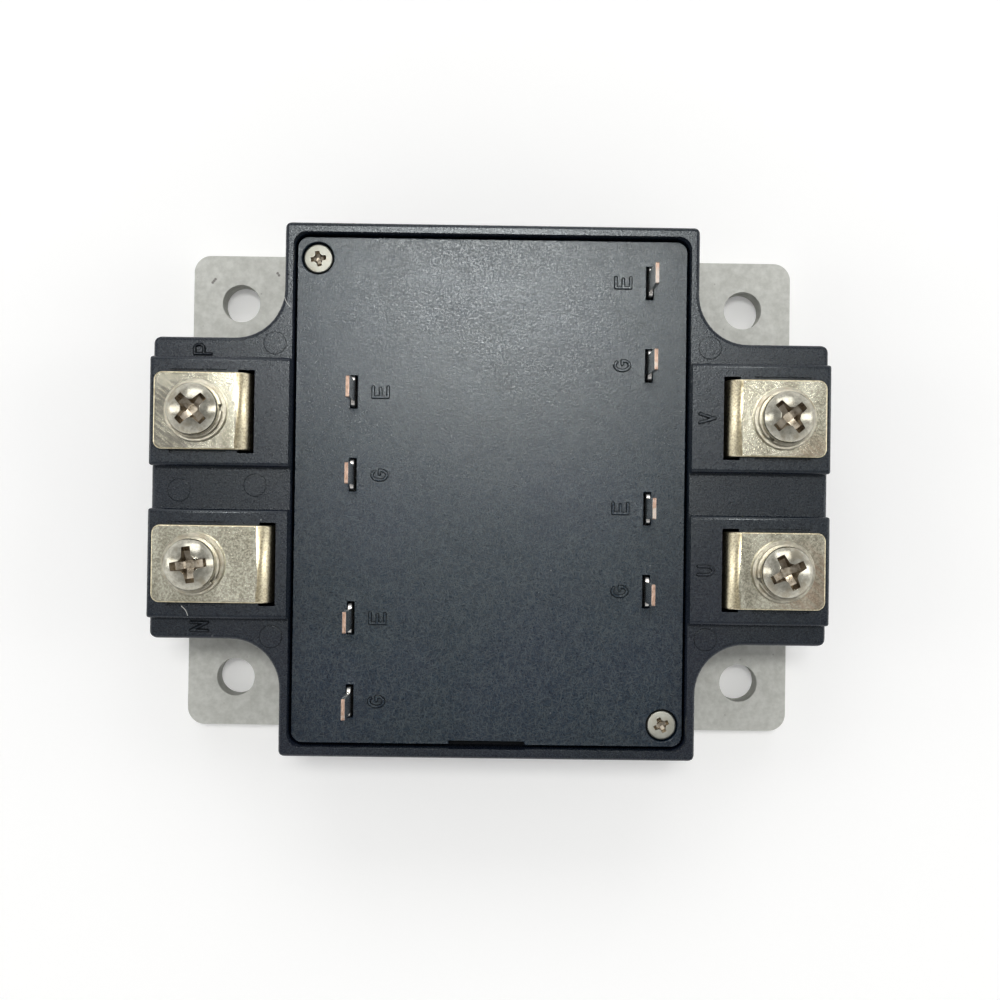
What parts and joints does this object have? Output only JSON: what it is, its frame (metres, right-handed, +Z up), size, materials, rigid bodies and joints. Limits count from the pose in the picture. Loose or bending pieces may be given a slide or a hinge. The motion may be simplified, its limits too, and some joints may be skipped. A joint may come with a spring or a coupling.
{
  "type": "igbt power module",
  "caption": "Flat black power semiconductor module on a nickel-plated base plate with mounting ears, folded screw terminals on both sides and plug-on control tabs in a recessed lid.",
  "frame": {"origin": "centre of the flat mounting face of the base plate", "axes": "+Z up through the lid, +X along the long side from the P and N terminals to the V and U terminals, +Y towards the P and V end"},
  "size_m": [0.091, 0.072, 0.0304],
  "materials": {
    "nickel_plate": "matt nickel plating on copper",
    "case_plastic": "fine-grained black moulding",
    "lid_plastic": "satin black with fine speckle",
    "strip_nickel": "satin nickel plating on copper strip",
    "screw_nickel": "bright nickel plating on steel",
    "tab_copper": "nickel-plated copper blade with bare cut tip",
    "ceramic": "white ceramic",
    "copper": "bare copper foil",
    "silicon": "polished silicon with a metal face",
    "wire": "drawn aluminium wire",
    "gel": "clear silicone gel",
    "epoxy": "poured dark epoxy"
  },
  "bodies": {
    "root": {"base_plate": "nickel_plate", "case_frame": "case_plastic", "lid": "lid_plastic", "lid_screw_1": "screw_nickel", "lid_screw_2": "screw_nickel", "terminal_p": "strip_nickel", "terminal_n": "strip_nickel", "terminal_v": "strip_nickel", "terminal_u": "strip_nickel", "terminal_screw_p": "screw_nickel", "terminal_screw_n": "screw_nickel", "terminal_screw_v": "screw_nickel", "terminal_screw_u": "screw_nickel", "spring_washer_p": "screw_nickel", "spring_washer_n": "screw_nickel", "spring_washer_v": "screw_nickel", "spring_washer_u": "screw_nickel", "flat_washer_p": "screw_nickel", "flat_washer_n": "screw_nickel", "flat_washer_v": "screw_nickel", "flat_washer_u": "screw_nickel", "terminal_nut_p": "screw_nickel", "terminal_nut_n": "screw_nickel", "terminal_nut_v": "screw_nickel", "terminal_nut_u": "screw_nickel", "control_tab_1": "tab_copper", "control_tab_2": "tab_copper", "control_tab_3": "tab_copper", "control_tab_4": "tab_copper", "control_tab_5": "tab_copper", "control_tab_6": "tab_copper", "control_tab_7": "tab_copper", "control_tab_8": "tab_copper", "ceramic_v": "ceramic", "ceramic_u": "ceramic", "back_copper_v": "copper", "back_copper_u": "copper", "copper_pattern_v": "copper", "copper_pattern_u": "copper", "igbt_chip_1": "silicon", "igbt_chip_2": "silicon", "igbt_chip_3": "silicon", "igbt_chip_4": "silicon", "diode_chip_1": "silicon", "diode_chip_2": "silicon", "diode_chip_3": "silicon", "diode_chip_4": "silicon", "bond_wires_v": "wire", "bond_wires_u": "wire", "silicone_gel": "gel", "epoxy_cap": "epoxy"}
  },
  "joints": []
}
